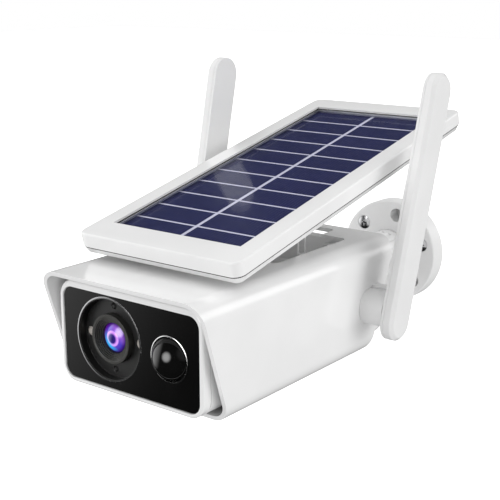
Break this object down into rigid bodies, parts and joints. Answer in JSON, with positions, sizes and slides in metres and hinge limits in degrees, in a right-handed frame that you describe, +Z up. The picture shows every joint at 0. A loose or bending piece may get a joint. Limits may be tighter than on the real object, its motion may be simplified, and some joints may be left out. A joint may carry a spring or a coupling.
{
  "type": "solar-powered security camera",
  "caption": "Bullet-style outdoor camera in a slanted hood with a hinged solar panel on top, side antennas and a ball-joint wall bracket.",
  "frame": {"origin": "centre of the wall bracket's back face", "axes": "+Z up, -Y the way the camera looks, +X to the right of someone facing the camera's front"},
  "size_m": [0.147, 0.2636, 0.1593],
  "materials": {
    "white_plastic": "gloss moulded",
    "case_plastic": "satin moulded",
    "antenna_plastic": "satin moulded",
    "chrome_screw": "polished",
    "steel": "zinc plated",
    "brass": "turned",
    "nylon": "satin",
    "rubber": "matt",
    "rubber_grey": "matt",
    "black_glass": "gloss, dark printed",
    "black_plastic": "satin",
    "dome_plastic": "gloss",
    "bright_trim": "polished",
    "clear_epoxy": "clear",
    "dark_epoxy": "gloss",
    "lens_glass": "coated",
    "circuit_board": "satin lacquer",
    "battery_wrap": "shrink wrap",
    "panel_glass": "clear over dark cells",
    "silicon": "dark blue wafer",
    "backing_board": "satin"
  },
  "bodies": {
    "bracket": {"wall_base_cover": "white_plastic", "wall_base_plate": "white_plastic", "base_screws": "chrome_screw"},
    "ring": {"clamp_ring": "white_plastic"},
    "seat": {"ball_seat": "nylon"},
    "stud": {"ball_stud": "white_plastic", "stud_screw": "steel"},
    "nut": {"lock_nut": "white_plastic"},
    "camera": {"case": "case_plastic", "rear_cap": "case_plastic", "rear_cap_screws": "chrome_screw", "threaded_insert": "brass", "hood": "white_plastic", "front_bezel": "white_plastic", "bezel_seal": "rubber", "front_glass": "black_glass", "lens_well": "black_plastic", "infrared_lights": "clear_epoxy", "front_sensors": "dark_epoxy", "light_board": "circuit_board", "lens_barrel": "black_plastic", "lens_glass": "lens_glass", "lens_holder": "black_plastic", "sensor_board": "circuit_board", "image_sensor": "dark_epoxy", "pir_dome": "dome_plastic", "pir_ring": "bright_trim", "pir_sensor": "steel", "pir_board": "circuit_board", "main_board": "circuit_board", "battery_cells": "battery_wrap", "battery_holder": "black_plastic", "speaker": "black_plastic", "port_frame": "black_plastic", "usb_socket": "steel", "card_socket": "steel", "arm_pin": "steel", "antenna_hub_right": "antenna_plastic", "antenna_hub_left": "antenna_plastic"},
    "reset": {"reset_button": "black_plastic"},
    "power": {"power_button": "black_plastic"},
    "flap": {"port_cover": "rubber_grey"},
    "arm": {"support_arm": "case_plastic"},
    "panel": {"panel_pin": "steel", "panel_frame": "white_plastic", "panel_shell": "white_plastic", "panel_glass": "panel_glass", "solar_cells": "silicon", "cell_board": "backing_board", "hinge_bracket": "case_plastic", "shell_screws": "chrome_screw", "bracket_screws": "chrome_screw"},
    "antenna_right": {"antenna_shell_right": "antenna_plastic", "antenna_cover_right": "antenna_plastic", "antenna_strip_right": "circuit_board"},
    "antenna_left": {"antenna_shell_left": "antenna_plastic", "antenna_cover_left": "antenna_plastic", "antenna_strip_left": "circuit_board"}
  },
  "joints": [
    {"name": "clamp_turn", "type": "hinge", "parent": "bracket", "child": "ring", "pos_m": [0, -0.027, 0], "axis": [0, 1, 0], "range_deg": [0, 180]},
    {"name": "mount_pan", "type": "hinge", "parent": "bracket", "child": "seat", "pos_m": [0, -0.027, 0], "axis": [0, 0, 1], "range_deg": [-15, 15]},
    {"name": "mount_tilt", "type": "hinge", "parent": "seat", "child": "stud", "pos_m": [0, -0.027, 0], "axis": [1, 0, 0], "range_deg": [-5, 35]},
    {"name": "nut_turn", "type": "hinge", "parent": "stud", "child": "nut", "pos_m": [0, -0.092, 0], "axis": [0, 1, 0], "range_deg": [0, 180]},
    {"name": "mount_turn", "type": "hinge", "parent": "stud", "child": "camera", "pos_m": [0, -0.098, 0], "axis": [0, 1, 0], "range_deg": [-90, 90]},
    {"name": "arm_fold", "type": "hinge", "parent": "camera", "child": "arm", "pos_m": [0, -0.1385, 0.0205], "axis": [1, 0, 0], "range_deg": [0, 90]},
    {"name": "panel_fold", "type": "hinge", "parent": "arm", "child": "panel", "pos_m": [0, -0.1385, 0.0441], "axis": [1, 0, 0], "range_deg": [-102.8, 0]},
    {"name": "antenna_right_turn", "type": "hinge", "parent": "camera", "child": "antenna_right", "pos_m": [0.066, -0.1236, 0], "axis": [1, 0, 0], "range_deg": [-43, 107]},
    {"name": "antenna_left_turn", "type": "hinge", "parent": "camera", "child": "antenna_left", "pos_m": [-0.066, -0.1236, 0], "axis": [1, 0, 0], "range_deg": [-48, 102]},
    {"name": "port_cover_open", "type": "hinge", "parent": "camera", "child": "flap", "pos_m": [-0.0205, -0.11, -0.0248], "axis": [0, 1, 0], "range_deg": [0, 110]},
    {"name": "reset_press", "type": "slide", "parent": "camera", "child": "reset", "axis": [0, 0, 1], "range_m": [0, 0.0005], "stiffness_N_per_m": 400},
    {"name": "power_press", "type": "slide", "parent": "camera", "child": "power", "axis": [0, 0, 1], "range_m": [0, 0.0005], "stiffness_N_per_m": 400}
  ],
  "couplings": [
    {"joint": "panel_fold", "follows": "arm_fold", "ratio": -1.142}
  ]
}
